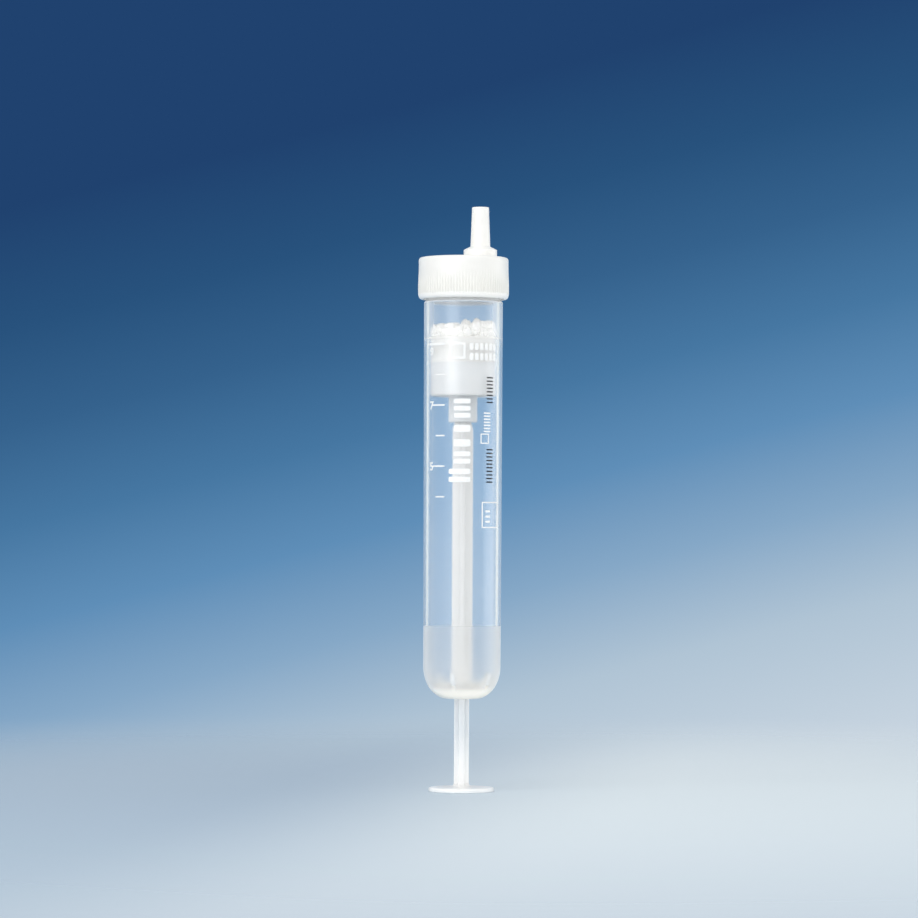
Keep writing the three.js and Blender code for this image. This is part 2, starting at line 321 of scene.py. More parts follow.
def make_tube():
    """Rings of the profile, with the thread added to the radius, and the ribs moved in
    and up by equal amounts. Each point notes whether it is outside, for the frosting, and
    how much of a rib lies there, for the painted highlight over the rib."""
    profile = tube_profile()
    low, high, along = THREAD["low"], THREAD["high"], profile[:, 1]
    neck = np.linspace(low, high, NECK_ROWS)
    neck = np.stack([np.full_like(neck, NECK_RADIUS), neck], axis=1)
    cut = np.flatnonzero((along[:-1] < low) & (along[1:] >= low))[0] + 1
    on_neck = (np.abs(profile[:, 0] - NECK_RADIUS) < 1e-5) & (along > low) & (along < high)
    profile = np.concatenate([profile[:cut], neck, profile[cut:][~on_neck[cut:]]])
    angle = angles(TUBE_COLUMNS)[None, :]
    radius, height = profile[:, :1], profile[:, 1:]
    rib = rib_wave(radius, height, angle) / math.sqrt(2)
    radius = radius + thread_wave(radius, height, angle) - rib
    wall = ringed_piece("tube_wall", rings_of(radius, height + rib, TUBE_COLUMNS), closed=True)
    outside = (np.arange(len(profile)) <= profile[:, 1].argmax())[:, None]
    top = RIB["top"]
    over_rib = hump(height, FLOOR_TOP, FLOOR_TOP + 0.8 * MM, top - 0.6 * MM, top + 0.4 * MM)
    note_on(wall, "outside", np.broadcast_to(outside, rib.shape))
    note_on(wall, "on_rib", np.where(outside, over_rib * rib_crest(angle), 0.4 * rib / rib.max()))
    return wall


tube = make_tube()
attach(tube, "tube")
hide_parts("tube")

# %% [markdown]
# ## The screw cap and its Luer cone
# Cap and cone are one white moulding. The cone stands off the cap's axis, but this is
# still one stack of rings: each ring has its own centre, and across the flat top the
# centre slides from the cone's axis to the cap's axis while the ring grows. The same
# slide closes the ceiling inside.

# %% Sizes of the cap
CAP_RADIUS = 9.3 * MM
CAP_TOP = 110.4 * MM
CAP_TOP_ROUND = 0.65 * MM
CEILING = 109.0 * MM
CAP_BORE = 8.3 * MM
LUER_OFFSET = 3.45 * MM
LUER_BORE = 1.05 * MM
LUER_TIP_RADIUS = 1.75 * MM
LUER_FOOT = (2.05 * MM, 112.75 * MM)
FLANGE = (3.45 * MM, 112.05 * MM)
SEAL = {"inner": 6.0 * MM, "outer": 6.75 * MM, "bottom": 105.6 * MM}
KNURLS = 90
KNURL_LOW, KNURL_HIGH = 102.7 * MM, 108.4 * MM
POINTS_PER_KNURL = 6


# %% The cap's rings
def cap_profile():
    """The closed profile (r, z), from the cone's bore over the tip, down to the top, down
    the skirt, and back in over the ceiling with its sealing ring."""
    return soften([
        (LUER_BORE, CEILING, 0.1 * MM), (LUER_BORE, luer_tip, 0.12 * MM),
        (LUER_TIP_RADIUS, luer_tip, 0.05 * MM), (*LUER_FOOT, 0.08 * MM),
        (*FLANGE, 0.08 * MM), (FLANGE[0], CAP_TOP, 0.2 * MM),
        (CAP_RADIUS, CAP_TOP, CAP_TOP_ROUND), (CAP_RADIUS, cap_bottom, 0.85 * MM),
        (CAP_BORE + 0.1 * MM, cap_bottom, 0.1 * MM), (CAP_BORE, CEILING, 0.2 * MM),
        (SEAL["outer"], CEILING, 0.15 * MM), (SEAL["outer"], SEAL["bottom"], 0.3 * MM),
        (SEAL["inner"], SEAL["bottom"], 0.2 * MM), (SEAL["inner"], CEILING, 0.2 * MM),
    ], closed=True)


def ring_centres(profile):
    """The cone's offset, and on the flat top and ceiling an even slide to the axis."""
    radius, height = profile[:, 0], profile[:, 1]
    over_top = height > CAP_TOP - 0.01 * MM
    slide_end = np.where(over_top, CAP_RADIUS - CAP_TOP_ROUND, SEAL["inner"] - 0.2 * MM)
    slide_start = np.where(over_top, FLANGE[0] + 0.2 * MM, LUER_BORE + 0.1 * MM)
    share = np.clip((radius - slide_start) / (slide_end - slide_start), 0, 1)
    return LUER_OFFSET * (1 - share)


def make_cap():
    """Rings of the cap, with the knurl added to the skirt, fading out upwards."""
    profile = filled(cap_profile(), 0.8 * MM, closed=True)
    radius, height = profile[:, :1], profile[:, 1:]
    columns = KNURLS * POINTS_PER_KNURL
    angle = angles(columns)[None, :]
    low = KNURL_LOW
    fade = hump(height, low - 0.5 * MM, low + 0.3 * MM, low + 1.5 * MM, KNURL_HIGH)
    swing = np.abs(np.cos(KNURLS * angle / 2)) ** 0.8
    outside = radius > CAP_RADIUS - 0.3 * MM
    radius = radius + (knurl_radius - CAP_RADIUS) * swing * fade * outside
    rings = rings_of(radius, height, columns, ring_centres(profile))
    return ringed_piece("cap_with_luer_cone", rings, closed=True)


cap = make_cap()
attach(cap, "cap")
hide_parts("screw_cap")

# %% [markdown]
# ## The piston
# A milky moulding with a solid head between two sealing lips, a hollow skirt below it,
# and a hub in the middle that takes the rod. It is a turned shape from the middle of the
# socket's roof, down inside, and up the outside to the middle of the top. The upper lip
# is pressed against the bore, so it shows as a thin bright line out to the tube's edge.

# %% Sizes and skin of the piston
HEAD_BOTTOM = 88.6 * MM
SKIRT_BOTTOM = 81.7 * MM
SKIRT_RADIUS = 6.92 * MM
SKIRT_INNER = 5.6 * MM
SKIRT_EDGE = 6.75 * MM
WAIST_RADIUS = 6.86 * MM
LIP = 0.7 * MM
LIP_PRESSED = BORE_RADIUS + 0.01 * MM
HUB_RADIUS = 2.95 * MM
SOCKET_RADIUS = 1.55 * MM
SOCKET_TOP = 80.9 * MM


def make_piston():
    """The profile turned about the axis."""
    corners = [
        (0.02 * MM, SOCKET_TOP, 0), (SOCKET_RADIUS, SOCKET_TOP, 0.2 * MM),
        (SOCKET_RADIUS, hub_bottom, 0.15 * MM), (HUB_RADIUS, hub_bottom, 0.25 * MM),
        (HUB_RADIUS, HEAD_BOTTOM, 0.4 * MM), (SKIRT_INNER, HEAD_BOTTOM, 0.4 * MM),
        (SKIRT_INNER, SKIRT_BOTTOM, 0.2 * MM), (SKIRT_EDGE, SKIRT_BOTTOM, 0.1 * MM),
        (SKIRT_RADIUS, SKIRT_BOTTOM + LIP / 2, 0.15 * MM),
        (SKIRT_RADIUS, HEAD_BOTTOM - LIP, 0.1 * MM),
        (lip_radius, HEAD_BOTTOM - LIP / 4, 0.12 * MM),
        (lip_radius, HEAD_BOTTOM + LIP / 4, 0.12 * MM),
        (WAIST_RADIUS, HEAD_BOTTOM + LIP, 0.2 * MM),
        (WAIST_RADIUS, piston_top - 1.5 * LIP, 0.2 * MM),
        (lip_radius, piston_top - 0.7 * LIP, 0.12 * MM),
        (LIP_PRESSED, piston_top - LIP / 2, 0.1 * MM), (LIP_PRESSED, piston_top, 0.08 * MM),
        (0.02 * MM, piston_top, 0),
    ]
    profile = filled(soften(corners, closed=False), 0.5 * MM, closed=False)
    return ringed_piece("piston_body", rings_of(profile[:, 0], profile[:, 1], 192), closed=False)


piston = make_piston()
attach(piston, "plunger")
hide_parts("piston")

# %% [markdown]
# ## The plunger rod
# The rod has a cross-shaped section, which saves plastic and stays stiff. It is narrow
# outside the tube, wider inside, and waisted under the hub, where it is broken off once
# the blood is drawn. One grid makes it all: each row is the cross at that height, and
# near the disc and the peg the cross flows into a circle.

# %% Sizes of the rod
WIDE = (2.125 * MM, 0.525 * MM)
NARROW = (1.55 * MM, 0.625 * MM)
WAIST = (1.7 * MM, 0.525 * MM)
PEG_RADIUS = 1.45 * MM
STEP_LOW, STEP_HIGH = 22.4 * MM, 23.8 * MM
WAIST_LOW = 74.7 * MM
DISC_RIM = 0.85 * MM
DISC_MIDDLE = 1.05 * MM
DISC_ROUND = 0.4 * MM
DISC_FOOT = 0.2 * MM
FILLET = {"outer": 2.25 * MM, "inner": 1.75 * MM, "height": 0.7 * MM, "rows": 9}
POINTS_PER_BLADE = 25


# %% The cross section
def cross(half_span, half_thick):
    """One cross for each row. A blade is half a superellipse: along it cos(a)^(1/4) and
    across it sin(a)^(1/4) with its sign, for a from -90 to 90 degrees, stretched from the
    middle block to the blade's tip. The four blades are turns of the first."""
    a = np.linspace(-np.pi / 2, np.pi / 2, POINTS_PER_BLADE)[:-1]
    along = np.abs(np.cos(a)) ** 0.25
    across = signed_power(np.sin(a), 0.25)
    x = half_thick[:, None] + (half_span - half_thick)[:, None] * along
    y = half_thick[:, None] * across
    blades = [(x, y), (-y, x), (-x, -y), (y, -x)]
    return tuple(np.concatenate([blade[k] for blade in blades], axis=1) for k in (0, 1))


def make_rod():
    """Rows from the disc's underside to the peg's top. Each has a height, a cross, a
    circle's radius, and the share of the circle in it: point = (1 - share) cross +
    share circle, taken along the cross's own angles."""
    low_edge = bend((disc_radius - DISC_FOOT, DISC_FOOT), DISC_FOOT, DISC_FOOT, -90, 0, 8)
    high_centre = (disc_radius - DISC_ROUND, DISC_RIM - DISC_ROUND)
    high_edge = bend(high_centre, DISC_ROUND, DISC_ROUND, 0, 90, 8)
    middle = [[FILLET["outer"] + 0.35 * MM, DISC_MIDDLE], [FILLET["outer"], DISC_MIDDLE]]
    disc = np.concatenate([[[3 * MM, 0]], low_edge, high_edge, middle])
    foot = np.linspace(0, 1, FILLET["rows"])[1:]
    stretches = [(1.9 * MM, STEP_LOW, 30), (STEP_LOW, STEP_HIGH, 8),
                 (STEP_HIGH, WAIST_LOW, 60), (WAIST_LOW, hub_bottom - 0.02 * MM, 12)]
    shaft = np.concatenate([[stretches[0][0]], *(np.linspace(*part)[1:] for part in stretches)])
    peg = soften([(PEG_RADIUS + 0.01 * MM, hub_bottom, 0), (PEG_RADIUS, peg_top, 0.2 * MM),
                  (0.3 * MM, peg_top, 0)], closed=False)
    height = np.concatenate([
        disc[:, 1], DISC_MIDDLE + foot**1.6 * FILLET["height"], shaft, peg[:, 1]])
    circle = np.concatenate([
        disc[:, 0], FILLET["outer"] + foot * (FILLET["inner"] - FILLET["outer"]),
        np.full_like(shaft, PEG_RADIUS), peg[:, 0]])
    share = np.concatenate([
        np.ones(len(disc)), 1 - smooth_step(foot, 0, 1), np.zeros_like(shaft), np.ones(len(peg))])
    stops = [0, STEP_LOW, STEP_HIGH, WAIST_LOW, hub_bottom]
    sizes = zip(NARROW, NARROW, WIDE, WIDE, WAIST)
    x, y = cross(*(np.interp(height, stops, size) for size in sizes))
    length = np.hypot(x, y)
    scale = (1 - share)[:, None] + share[:, None] * circle[:, None] / length
    rings = np.stack([x * scale, y * scale, np.broadcast_to(height[:, None], x.shape)], axis=-1)
    return ringed_piece("rod_and_thumb_disc", rings, closed=False)


rod = make_rod()
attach(rod, "plunger")
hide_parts("plunger_rod")

# %% [markdown]
# ## The clot-activator beads
# Each bead is a lump of coated plastic, rounded but never a ball. A globe is stretched
# along directions of its own, and its radius is changed by a few slow waves and some
# faster, smaller ones. The generator is seeded, so the heap is the same every time.

# %% Globes, and the room they have
BEAD_REACH = 6.93 * MM
BEAD_FLOOR = piston_top + 0.02 * MM


def globe(rows, columns):
    """Unit normals in rings from near the south pole to near the north: (cos t cos a,
    cos t sin a, sin t)."""
    tilt = np.linspace(-np.pi / 2, np.pi / 2, rows + 2)[1:-1, None]
    angle = angles(columns)[None, :]
    return np.stack(np.broadcast_arrays(
        np.cos(tilt) * np.cos(angle), np.cos(tilt) * np.sin(angle), np.sin(tilt)), axis=-1)


def kept_inside(points):
    """The points, pulled in to BEAD_REACH from the axis and up to just over the piston."""
    reach = np.linalg.norm(points[..., :2], axis=-1)
    points[..., :2] *= np.minimum(1, BEAD_REACH / reach)[..., None]
    points[..., 2] = np.maximum(points[..., 2], BEAD_FLOOR)
    return points


# %% Beads where the construction model has them
BEAD_ROWS, BEAD_COLUMNS = 17, 26
BEAD_STRETCH = (0.95, 1.4)


def make_bead(node, random):
    """Radius = size (1 + sum of w sin(k direction . normal + phase)), over a globe, which
    is then stretched along three axes."""
    low, high = (np.array(corner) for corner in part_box(node))
    middle, size = (low + high) / 2, (high - low).max() / 2
    normal = globe(BEAD_ROWS, BEAD_COLUMNS)
    axes = np.linalg.qr(random.normal(size=(3, 3)))[0]
    stretch = axes @ np.diag(random.uniform(*BEAD_STRETCH, size=3)) @ axes.T
    waves = random.normal(size=(9, 3))
    waves /= np.linalg.norm(waves, axis=1, keepdims=True)
    speed = np.array([2.2, 2.2, 2.6, 2.6, 3.4, 5.0, 6.5, 8.0, 9.5])
    weight = np.array([0.10, 0.09, 0.08, 0.07, 0.06, 0.045, 0.03, 0.02, 0.015])
    phase = random.uniform(0, TURN, 9)
    swell = (weight * np.sin((normal @ waves.T) * speed + phase)).sum(axis=-1)
    rings = kept_inside(middle + (normal * (size * (1 + swell))[..., None]) @ stretch)
    bead = ringed_piece(node.replace("clot_bead", "bead"), rings, closed=False)
    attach(bead, "plunger")
    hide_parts(node)
    return bead


bead_random = np.random.default_rng(11)
bead_nodes = sorted(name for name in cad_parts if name.startswith("clot_bead"))
beads = [make_bead(node, bead_random) for node in bead_nodes]

# %% Crumbs of the coating between the beads
CRUMBS, SUNK_CRUMBS = 640, 330
CRUMB_SIZE = (0.26 * MM, 0.52 * MM)
CRUMB_UNEVEN = (0.8, 1.2)
SUNK_OUT = (5.6 * MM, 6.75 * MM)
SUNK_UP = (0.1 * MM, 1.2 * MM)
CRUMB_ROWS, CRUMB_COLUMNS = 4, 7


def make_crumbs(random):
    """Most crumbs stick to some bead, mostly at its sides, and the last ones have sunk to
    the piston near the bore. Each crumb's radius changes from point to point."""
    corners = np.array([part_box(node) for node in bead_nodes])
    host = random.integers(0, len(bead_nodes), CRUMBS)
    middle = corners.mean(axis=1)[host]
    reach = (corners[:, 1] - corners[:, 0]).max(axis=1)[host] / 2
    way = random.normal(size=(CRUMBS, 3)) * (1, 1, 0.6)
    way /= np.linalg.norm(way, axis=1, keepdims=True)
    middle = middle + way * reach[:, None]
    turn = random.uniform(0, TURN, SUNK_CRUMBS)
    out = random.uniform(*SUNK_OUT, SUNK_CRUMBS)
    up = piston_top + random.uniform(*SUNK_UP, SUNK_CRUMBS)
    middle[-SUNK_CRUMBS:] = np.stack([out * np.cos(turn), out * np.sin(turn), up], axis=1)
    normal = globe(CRUMB_ROWS, CRUMB_COLUMNS).reshape(-1, 3)
    normal = np.concatenate([normal, [(0, 0, -1), (0, 0, 1)]])
    size = random.uniform(*CRUMB_SIZE, size=(CRUMBS, 1, 1))
    size = size * random.uniform(*CRUMB_UNEVEN, (CRUMBS, len(normal), 1))
    points = kept_inside(middle[:, None, :] + normal * size)
    faces = poled_faces(CRUMB_ROWS, CRUMB_COLUMNS, CRUMBS)
    return piece_from("bead_crumbs", points.reshape(-1, 3), faces, smooth_up_to=60)


crumbs = make_crumbs(bead_random)
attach(crumbs, "plunger")

# %% [markdown]
# ## The print
# The scale and the marks are ink on the outside of the tube. Each mark is drawn flat,
# with x the distance round the tube from its front line and y the height, and is then
# wrapped on the wall. In place of words stand plain bars and boxes of the same size.

# %% Wrapping flat marks on the wall
INK = 0.03 * MM
INK_GAP = 0.004 * MM
BLOCK_COLUMNS = 28


def wrapped(flat):
    """Flat points (x, y, t) to the wall: the angle is x over the wall's radius, counted
    from the front at -Y, the height is y, and the radius is the wall's plus t."""
    radius = wall_radius(flat[..., 1]) + INK_GAP
    angle = flat[..., 0] / radius - TURN / 4
    out = radius + flat[..., 2]
    return np.stack([out * np.cos(angle), out * np.sin(angle), flat[..., 1]], axis=-1)


def block(left, right, low, high, squareness=0.28):
    """A bar of ink with rounded corners: rings of one superellipse, shrunk towards the
    middle on both sides."""
    a = angles(BLOCK_COLUMNS)
    across = signed_power(np.cos(a), squareness) * (right - left) / 2
    up = signed_power(np.sin(a), squareness) * (high - low) / 2
    size = np.array([0.15, 0.5, 0.8, 1.0, 1.0, 0.8, 0.5, 0.15])
    depth = np.array([0, 0, 0, 0, INK, INK, INK, INK])
    flat = np.stack(np.broadcast_arrays(
        (left + right) / 2 + size[:, None] * across,
        (low + high) / 2 + size[:, None] * up,
        depth[:, None]), axis=-1)
    return wrapped(flat)


def frame_marks(left, right, low, high, line):
    """The four bars of an outlined box."""
    return [(left, left + line, low, high), (right - line, right, low, high),
            (left, right, low, low + line), (left, right, high - line, high)]


def ink_piece(name, marks):
    """All blocks of one colour as one piece that rides on the tube."""
    blocks = [block(*mark) for mark in marks]
    points = np.concatenate([with_poles(rings) for rings in blocks])
    piece = piece_from(name, points, poled_faces(*blocks[0].shape[:2], len(blocks)))
    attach(piece, "tube")
    return piece


# %% The scale and the plain marks
ML_STEP = 6.28 * MM
NINE_ML = 92.2 * MM
TICK_RIGHT = -3.9 * MM
LONG_TICK, SHORT_TICK = (3.35 * MM, 0.32 * MM), (2.25 * MM, 0.3 * MM)
TICKS = {9: (4.5 * MM, 0.5 * MM), 8: SHORT_TICK, 7: LONG_TICK, 6: SHORT_TICK,
         5: LONG_TICK, 4: SHORT_TICK}


def tick(millilitres):
    """The tick of one volume: its height counts down from nine in even steps."""
    length, line = TICKS[millilitres]
    height = NINE_ML - (9 - millilitres) * ML_STEP
    return TICK_RIGHT - length, TICK_RIGHT, height - line / 2, height + line / 2


def bars(left, right, low, high, count, fill):
    """count level bars one above another; fill is the share of the height they cover."""
    pitch = (high - low) / count
    return [(left, right, low + pitch * i, low + pitch * (i + fill)) for i in range(count)]


def mm(*sizes):
    return [size * MM for size in sizes]


white_marks = [tick(volume) for volume in TICKS]
white_marks += frame_marks(*mm(-2.85, 0.45, 89.1, 92.4, 0.42))
for first, last in ((90.95, 92.35), (88.85, 90.3)):
    for k in range(6):
        left = (1.3 + 1.12 * k) * MM
        white_marks.append((left, left + 0.8 * MM, first * MM, last * MM))
GROUPS = [(63.8, 67.1, 2, 2.95), (67.6, 70.6, 2, 1.9), (71.1, 73.3, 1, 1.9),
          (74.1, 76.2, 1, 1.9), (77.0, 81.4, 3, 1.9)]
for low, high, count, left in GROUPS:
    white_marks += bars(*mm(-left, 1.55, low, high), count, 0.68)
white_marks += bars(*mm(4.5, 6.2, 74.1, 78.5), 7, 0.45)
white_marks += frame_marks(*mm(3.75, 5.8, 71.7, 73.8, 0.22))
white_marks += frame_marks(*mm(4.1, 8.9, 54.4, 59.8, 0.26))
white_marks += bars(*mm(5.0, 6.2, 55.5, 58.7), 3, 0.4)
black_marks = bars(*mm(5.2, 6.9, 80.1, 85.9), 8, 0.38)
black_marks += bars(*mm(5.2, 6.9, 63.7, 71.1), 10, 0.40)
print_white = ink_piece("print_white", white_marks)
print_black = ink_piece("print_black", black_marks)


# %% Plain numbers beside the long ticks
HALF_NUMERAL = 0.8 * MM
CAPITAL_SHARE = 0.7


def numeral(text, left, low):
    """A number from Blender's own font, made a mesh and wrapped on the wall."""
    curve = bpy.data.curves.new("numeral", "FONT")
    curve.body = text
    curve.size = 2 * HALF_NUMERAL / CAPITAL_SHARE
    curve.extrude = INK / 2
    curve.offset = 0.055 * MM
    carrier = placed("numeral", curve)
    bpy.context.view_layer.update()
    mesh = bpy.data.meshes.new_from_object(carrier)
    bpy.data.objects.remove(carrier)
    flat = np.zeros(len(mesh.vertices) * 3)
    mesh.vertices.foreach_get("co", flat)
    flat = flat.reshape(-1, 3) + np.array([left, low, INK / 2])
    mesh.vertices.foreach_set("co", wrapped(flat).ravel())
    mesh.update()
    piece = placed(f"number_{text}", mesh)
    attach(piece, "tube")
    return piece


numbers = [numeral("9", -8.05 * MM, NINE_ML - 2.3 * MM)]
numbers += [numeral(str(volume), -8.0 * MM, NINE_ML - (9 - volume) * ML_STEP - HALF_NUMERAL)
            for volume in (7, 5)]

# %% [markdown]
# ## Materials as expressions
# A material turns a place on the surface into a colour and a roughness. Writing it node
# by node hides that, so a small class wraps a socket and lends it Python's operators. An
# expression such as 1 - mask then adds its Math nodes.

# %% A socket that does arithmetic
SKIN_SCALE, SKIN_DEPTH = 5200.0, 0.008 * MM
PLAIN = (1.0, 1.0, 1.0, 1.0)
EVEN = (1.0, 1.0, 1.0)


class Value:
    """What one socket gives, with arithmetic on numbers."""

    def __init__(self, paint, socket):
        self.paint, self.socket = paint, socket

    def math(self, operation, *others):
        return self.paint.node("Math", {"operation": operation}, [self, *others])

    def __add__(self, other):
        return self.math("ADD", other)

    def __sub__(self, other):
        return self.math("SUBTRACT", other)

    def __mul__(self, other):
        return self.math("MULTIPLY", other)

    def __rsub__(self, other):
        return self.paint.node("Math", {"operation": "SUBTRACT"}, [other, self])

    __radd__, __rmul__ = __add__, __mul__

    def step(self, low, high, bottom=0.0, top=1.0):
        """bottom below low, top above high, and a smooth change between."""
        settings = {"interpolation_type": "SMOOTHSTEP"}
        return self.paint.node("MapRange", settings, {
            "Value": self, "From Min": low, "From Max": high, "To Min": bottom, "To Max": top})

    def fall(self, low, high):
        return self.step(low, high, 1.0, 0.0)


class Paint:
    """The node tree of a material, or of the world. raw() adds a node of a kind that is
    named without "ShaderNode", and node() gives that node's output."""

    def __init__(self, name, owner=None):
        self.owner = owner or bpy.data.materials.new(name)
        self.owner.use_nodes = True
        self.tree = self.owner.node_tree
        self.tree.nodes.clear()

    def raw(self, kind, settings, inputs):
        made = self.tree.nodes.new("ShaderNode" + kind)
        for key, value in settings.items():
            setattr(made, key, value)
        pairs = inputs.items() if isinstance(inputs, dict) else enumerate(inputs)
        for key, value in pairs:
            if isinstance(value, Value):
                self.tree.links.new(value.socket, made.inputs[key])
            else:
                made.inputs[key].default_value = value
        return made

    def node(self, kind, settings=None, inputs=(), output=0):
        return Value(self, self.raw(kind, settings or {}, inputs).outputs[output])

    def place(self):
        """The point's place on the object."""
        return self.node("TexCoord", output="Object")

    def height(self):
        """The point's height on the object."""
        return self.parts(self.place(), "Z")[0]

    def parts(self, vector, axes="XYZ"):
        """The named parts of a vector, one value each."""
        apart = self.raw("SeparateXYZ", {}, [vector])
        return [Value(self, apart.outputs[axis]) for axis in axes]

    def noise(self, scale, detail=2.0):
        return self.node("TexNoise", {}, {
            "Vector": self.place(), "Scale": scale, "Detail": detail})

    def cloud(self, scale):
        """Slow patches between 0 and 1, for the flow of the plastic."""
        return self.noise(scale, 3.0).step(0.3, 0.7)

    def skin(self, scale=SKIN_SCALE, strength=0.35):
        """The bump of a moulding's fine skin texture."""
        return self.node("Bump", {}, {
            "Height": self.noise(scale), "Distance": SKIN_DEPTH, "Strength": strength})

    def blend(self, share, first, second):
        """A colour between two: (1 - share) first + share second."""
        mix = self.raw("Mix", {"data_type": "RGBA"}, {0: share, 6: first, 7: second})
        return Value(self, mix.outputs[2])

    def plastic(self, **sockets):
        """A Principled shader. Keywords are its sockets, with _ for a space."""
        inputs = {key.replace("_", " "): value for key, value in sockets.items()}
        return self.node("BsdfPrincipled", {}, inputs)

    def mix(self, share, first, second):
        return self.node("MixShader", {}, [share, first, second])

    def clear(self, tint=PLAIN):
        return self.node("BsdfTransparent", {}, [tint])

    def lamps_through(self, shader, held=None, tint=PLAIN):
        """The shader, but clear to rays that look for a lamp, apart from the share held."""
        lamp_ray = self.node("LightPath", output="Is Shadow Ray")
        through = self.clear(tint)
        if held:
            through = self.mix(held, through, shader)
        return self.mix(lamp_ray, shader, through)

    def show(self, shader):
        output = self.raw("OutputMaterial", {}, [shader])
        output.is_active_output = True
        return self.owner


def scatter(share, deep):
    """Sockets that let a share of the light in under the skin, evenly for all colours."""
    return {"Subsurface_Weight": share, "Subsurface_Radius": EVEN, "Subsurface_Scale": deep}


def srgb(red, green, blue):
    """A colour as it is seen, 0 to 255, as the linear numbers that a shader takes."""
    seen = np.array([red, green, blue]) / 255
    linear = np.where(seen > 0.04045, ((seen + 0.055) / 1.055) ** 2.4, seen / 12.92)
    return (*linear.tolist(), 1.0)


# %% [markdown]
# ## Clear plastic with a frosted base
# Clear polypropylene holds a fine white haze, which adds up where the eye looks along
# the wall, so a tube has pale edges. The haze is a thin share of white on the outside
# alone, since a hazy bore would blur what lies inside. It grows as the surface turns
# away. The same white share also carries painted light: a band of it near the cap, a
# painted highlight line at the shoulder and painted highlights over the stop ribs. Below
# the frosting line the mould was etched, so the outside scatters what is behind it. The
# thick floor has a faint painted glow, strongest where it faces the eye, in place of the
# light that a clear wall guides down into it, which a path tracer hardly ever finds. For
# shadow rays the wall is simply transparent.

# %% The tube's material
FROST_LINE = 34.2 * MM
HAZE_AND_PAINTED_LIGHT = {"flat": 0.08, "low": 0.08, "high": 0.08, "high_edge": 0.15, "edge": 0.24, "frosted": 0.05,
        "frosted_edge": 0.62, "base": 0.12, "shoulder": 0.5, "rib": 0.8, "floor": 1.0}


def clear_plastic():
    """Haze share of the outside = flat + edge facing^3, with more low down and just above
    the floor, under the frosting line with facing^2, and most in the floor. Painted light
    is added to the same share: a band near the cap, stronger towards the edges, a line at
    the shoulder and a highlight over the ribs. Facing is 0 square on and 1 edge on. The
    floor's glow is painted light too. The bore is polished."""
    paint = Paint("clear_plastic")
    height = paint.height()
    outside, rib = (paint.node("Attribute", {"attribute_name": name}, output="Fac")
                    for name in ("outside", "on_rib"))
    frost = outside * height.fall(FROST_LINE - 0.05 * MM, FROST_LINE + 0.05 * MM)
    thick = height.fall(FLOOR_TOP - 1.0 * MM, FLOOR_TOP + 0.5 * MM)
    away = paint.node("LayerWeight", {}, {"Blend": 0.5}, output="Facing")
    grain, flow = paint.noise(2600.0), paint.noise(90.0)
    polished = paint.plastic(
        Base_Color=srgb(254, 254, 254), Roughness=0.1 + 0.06 * flow, IOR=1.49,
        Transmission_Weight=1.0)
    etched = paint.plastic(
        Base_Color=paint.blend(grain, srgb(243, 243, 242), srgb(248, 248, 247)),
        Roughness=0.28 + 0.03 * grain, IOR=1.49, Transmission_Weight=1.0)
    haze_white = paint.plastic(Base_Color=srgb(247, 248, 248), Roughness=0.4, IOR=1.49)
    # Painted glow: the floor's white plastic glows faintly, strongest where it faces the eye.
    floor_white_painted_glow = paint.plastic(
        Base_Color=srgb(255, 247, 237), Roughness=0.4, IOR=1.49,
        **scatter(1.0, 2.0 * MM), Emission_Strength=0.21,
        Emission_Color=paint.blend(away.step(0.5, 0.8), srgb(255, 228, 200), srgb(0, 0, 0)))
    milk = paint.mix(thick, haze_white, floor_white_painted_glow)
    # More white share low down; from 90 mm up, near the cap, the extra share is painted light,
    # stronger towards the edges.
    low, high = height.fall(35 * MM, 70 * MM), height.step(90 * MM, 96 * MM)
    haze_and_painted_light = HAZE_AND_PAINTED_LIGHT["flat"] + HAZE_AND_PAINTED_LIGHT["low"] * low + HAZE_AND_PAINTED_LIGHT["high"] * high
    haze_and_painted_light = haze_and_painted_light + HAZE_AND_PAINTED_LIGHT["high_edge"] * high * away.step(0.12, 0.5)
    haze_and_painted_light = haze_and_painted_light + HAZE_AND_PAINTED_LIGHT["edge"] * away * away * away + HAZE_AND_PAINTED_LIGHT["floor"] * thick
    haze_and_painted_light = haze_and_painted_light + HAZE_AND_PAINTED_LIGHT["base"] * height.fall(FLOOR_TOP, 30 * MM)
    # Painted highlight: a white line at the shoulder under the cap.
    haze_and_painted_light = haze_and_painted_light + HAZE_AND_PAINTED_LIGHT["shoulder"] * height.step(100.9 * MM, 101.1 * MM)
    haze_and_painted_light = haze_and_painted_light + frost * (HAZE_AND_PAINTED_LIGHT["frosted"] + HAZE_AND_PAINTED_LIGHT["frosted_edge"] * away * away)
    # Over the ribs the white share is a painted highlight.
    haze_and_painted_light = (outside * haze_and_painted_light + HAZE_AND_PAINTED_LIGHT["rib"] * rib).math("MINIMUM", 0.95)
    wall = paint.mix(haze_and_painted_light, paint.mix(frost, polished, etched), milk)
    return paint.show(paint.lamps_through(wall, tint=(0.99, 0.995, 1.0, 1.0)))


# %% [markdown]
# ## White, milky and dull plastics
# Moulded white plastic is never one flat colour: it has a faint flow pattern, and its
# skin has a fine texture that breaks up the gloss. Light passes on through small and thin
# pieces. So the beads hold back only a tenth of a lamp's light, and in the rod's blades
# and the piston it scatters under the skin.

